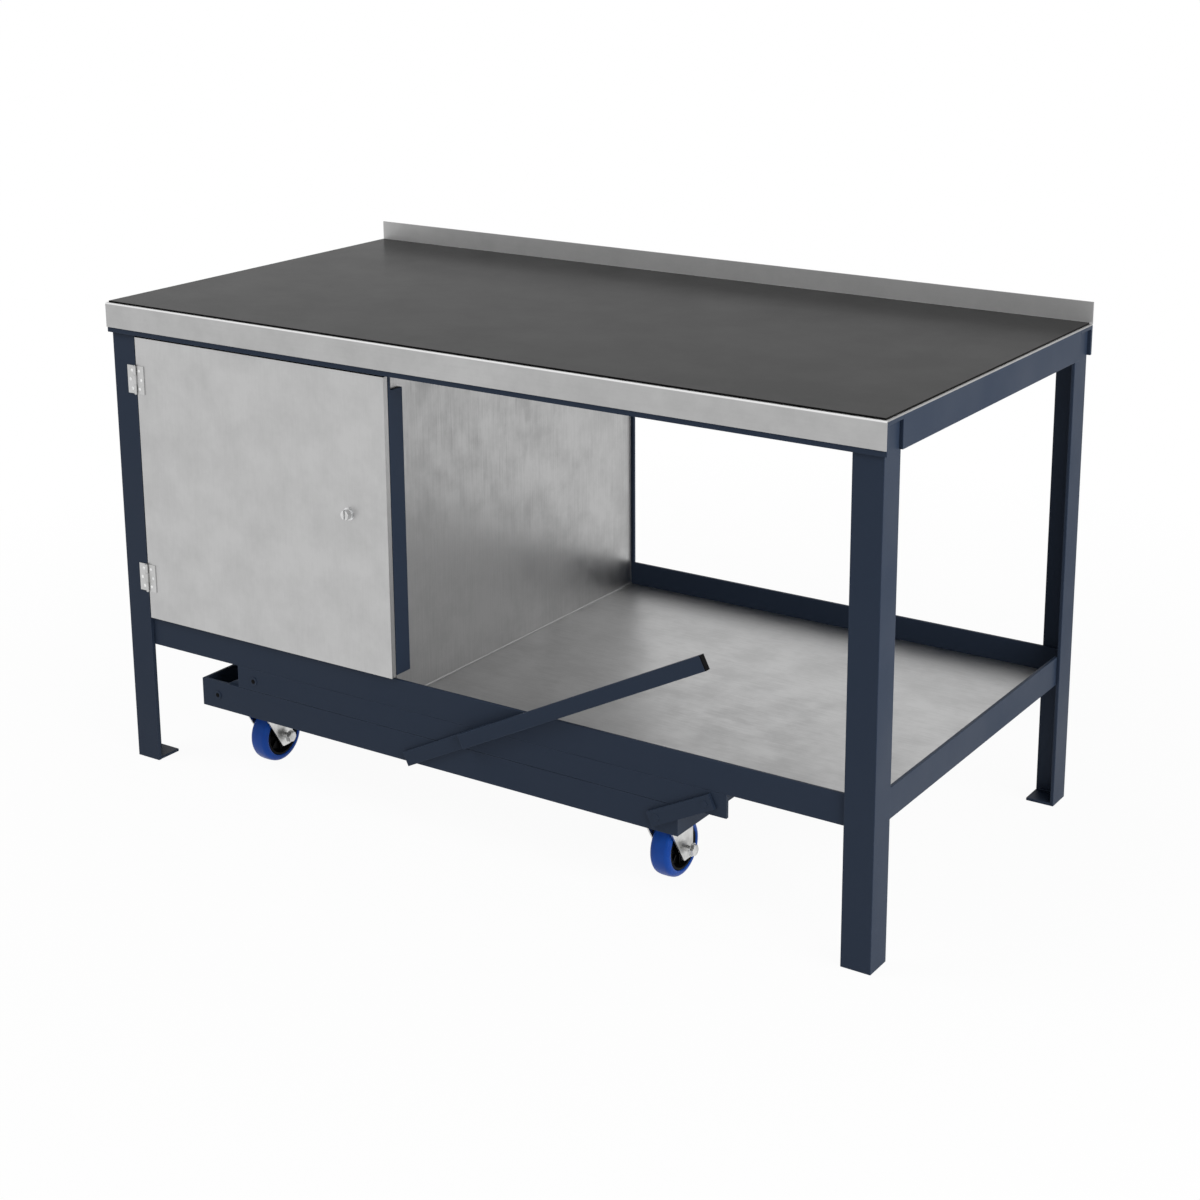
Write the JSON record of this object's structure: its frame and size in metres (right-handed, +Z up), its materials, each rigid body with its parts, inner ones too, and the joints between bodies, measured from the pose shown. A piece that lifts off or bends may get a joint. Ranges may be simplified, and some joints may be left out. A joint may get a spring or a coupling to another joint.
{
  "type": "mobile workbench",
  "caption": "Steel workbench with a rubber-matted worktop, rear upstand, lockable side cupboard, open tray shelf and a lever that lowers a castor frame to lift the legs for moving.",
  "frame": {"origin": "on the floor, under the middle of the bench's overall box", "axes": "+X along the worktop to the right as seen from the front, +Y from the front to the back, +Z up"},
  "size_m": [1.5, 0.757, 0.877],
  "materials": {
    "navy_powder_coat": "satin",
    "worktop_steel": "satin",
    "panel_steel": "satin",
    "rubber_mat": "matte",
    "hinge_steel": "satin",
    "lock_chrome": "polished",
    "zinc_plate": "satin",
    "black_plastic": "matte",
    "blue_tyre": "satin"
  },
  "bodies": {
    "bench": {"worktop_sheet": "worktop_steel", "worktop_mat": "rubber_mat", "top_rail_front": "navy_powder_coat", "top_rail_rear": "navy_powder_coat", "top_rail_left": "navy_powder_coat", "top_rail_right": "navy_powder_coat", "leg_front_left": "navy_powder_coat", "leg_rear_left": "navy_powder_coat", "leg_front_right": "navy_powder_coat", "leg_rear_right": "navy_powder_coat", "foot_plates": "navy_powder_coat", "shelf_rail_front": "navy_powder_coat", "shelf_rail_rear": "navy_powder_coat", "shelf_rail_left": "navy_powder_coat", "shelf_rail_right": "navy_powder_coat", "shelf_sheet": "panel_steel", "cupboard_divider": "panel_steel", "cupboard_side": "panel_steel", "cupboard_back": "panel_steel", "door_jamb": "navy_powder_coat", "rear_post": "navy_powder_coat", "apron_front": "navy_powder_coat", "apron_rear": "navy_powder_coat", "hinge_leaves_leg": "hinge_steel", "hinge_screws_leg": "hinge_steel"},
    "door": {"door_panel": "panel_steel", "hinge_leaves_door": "hinge_steel", "hinge_screws_door": "hinge_steel", "lock_barrel": "lock_chrome"},
    "lock": {"lock_knob": "lock_chrome", "lock_cam": "zinc_plate"},
    "lever": {"lever_link": "navy_powder_coat", "lever_arm": "navy_powder_coat", "lever_cap": "black_plastic"},
    "castor_frame": {"tie_front": "navy_powder_coat", "tie_rear": "navy_powder_coat", "channel_left": "navy_powder_coat", "channel_right": "navy_powder_coat", "castor_plates": "zinc_plate", "castor_bolts": "zinc_plate"},
    "link_front_left": {"link_front_left": "navy_powder_coat"},
    "link_rear_left": {"link_rear_left": "navy_powder_coat"},
    "link_front_right": {"link_front_right": "navy_powder_coat"},
    "link_rear_right": {"link_rear_right": "navy_powder_coat"},
    "fork_front_left": {"castor_fork_front_left": "zinc_plate", "castor_axle_front_left": "zinc_plate"},
    "wheel_front_left": {"castor_hub_front_left": "black_plastic", "castor_tyre_front_left": "blue_tyre"},
    "fork_rear_left": {"castor_fork_rear_left": "zinc_plate", "castor_axle_rear_left": "zinc_plate"},
    "wheel_rear_left": {"castor_hub_rear_left": "black_plastic", "castor_tyre_rear_left": "blue_tyre"},
    "fork_front_right": {"castor_fork_front_right": "zinc_plate", "castor_axle_front_right": "zinc_plate"},
    "wheel_front_right": {"castor_hub_front_right": "black_plastic", "castor_tyre_front_right": "blue_tyre"},
    "fork_rear_right": {"castor_fork_rear_right": "zinc_plate", "castor_axle_rear_right": "zinc_plate"},
    "wheel_rear_right": {"castor_hub_rear_right": "black_plastic", "castor_tyre_rear_right": "blue_tyre"}
  },
  "joints": [
    {"name": "door_hinge", "type": "hinge", "parent": "bench", "child": "door", "pos_m": [-0.693, -0.3685, 0.529], "axis": [0, 0, -1], "range_deg": [0, 170]},
    {"name": "lock_turn", "type": "hinge", "parent": "door", "child": "lock", "pos_m": [-0.222, -0.3655, 0.545], "axis": [0, -1, 0], "range_deg": [0, 90]},
    {"name": "lever_lift", "type": "hinge", "parent": "bench", "child": "lever", "pos_m": [0.006, -0.3565, 0.2005], "axis": [0, -1, 0], "range_deg": [0, 66]},
    {"name": "castor_frame_swing", "type": "hinge", "parent": "lever", "child": "castor_frame", "pos_m": [-0.08013, -0.3565, 0.15699], "axis": [0, -1, 0], "range_deg": [-66, 0]},
    {"name": "link_front_left_swing", "type": "hinge", "parent": "bench", "child": "link_front_left", "pos_m": [-0.458, -0.3565, 0.2005], "axis": [0, -1, 0], "range_deg": [0, 66]},
    {"name": "link_rear_left_swing", "type": "hinge", "parent": "bench", "child": "link_rear_left", "pos_m": [-0.458, 0.3635, 0.2005], "axis": [0, -1, 0], "range_deg": [0, 66]},
    {"name": "link_front_right_swing", "type": "hinge", "parent": "bench", "child": "link_front_right", "pos_m": [0.458, -0.3565, 0.2005], "axis": [0, -1, 0], "range_deg": [0, 66]},
    {"name": "link_rear_right_swing", "type": "hinge", "parent": "bench", "child": "link_rear_right", "pos_m": [0.458, 0.3635, 0.2005], "axis": [0, -1, 0], "range_deg": [0, 66]},
    {"name": "castor_front_left_swivel", "type": "hinge", "parent": "castor_frame", "child": "fork_front_left", "pos_m": [-0.50914, -0.2885, 0.11799], "axis": [0, 0, 1], "continuous": true},
    {"name": "wheel_front_left_spin", "type": "hinge", "parent": "fork_front_left", "child": "wheel_front_left", "pos_m": [-0.50914, -0.2555, 0.05799], "axis": [1, 0, 0], "continuous": true},
    {"name": "castor_rear_left_swivel", "type": "hinge", "parent": "castor_frame", "child": "fork_rear_left", "pos_m": [-0.50914, 0.2955, 0.11799], "axis": [0, 0, 1], "continuous": true},
    {"name": "wheel_rear_left_spin", "type": "hinge", "parent": "fork_rear_left", "child": "wheel_rear_left", "pos_m": [-0.50914, 0.3285, 0.05799], "axis": [1, 0, 0], "continuous": true},
    {"name": "castor_front_right_swivel", "type": "hinge", "parent": "castor_frame", "child": "fork_front_right", "pos_m": [0.33687, -0.2885, 0.11799], "axis": [0, 0, 1], "continuous": true},
    {"name": "wheel_front_right_spin", "type": "hinge", "parent": "fork_front_right", "child": "wheel_front_right", "pos_m": [0.33687, -0.2555, 0.05799], "axis": [1, 0, 0], "continuous": true},
    {"name": "castor_rear_right_swivel", "type": "hinge", "parent": "castor_frame", "child": "fork_rear_right", "pos_m": [0.33687, 0.2955, 0.11799], "axis": [0, 0, 1], "continuous": true},
    {"name": "wheel_rear_right_spin", "type": "hinge", "parent": "fork_rear_right", "child": "wheel_rear_right", "pos_m": [0.33687, 0.3285, 0.05799], "axis": [1, 0, 0], "continuous": true}
  ],
  "couplings": [
    {"joint": "castor_frame_swing", "follows": "lever_lift", "ratio": -1},
    {"joint": "link_front_left_swing", "follows": "lever_lift", "ratio": 1},
    {"joint": "link_rear_left_swing", "follows": "lever_lift", "ratio": 1},
    {"joint": "link_front_right_swing", "follows": "lever_lift", "ratio": 1},
    {"joint": "link_rear_right_swing", "follows": "lever_lift", "ratio": 1}
  ]
}
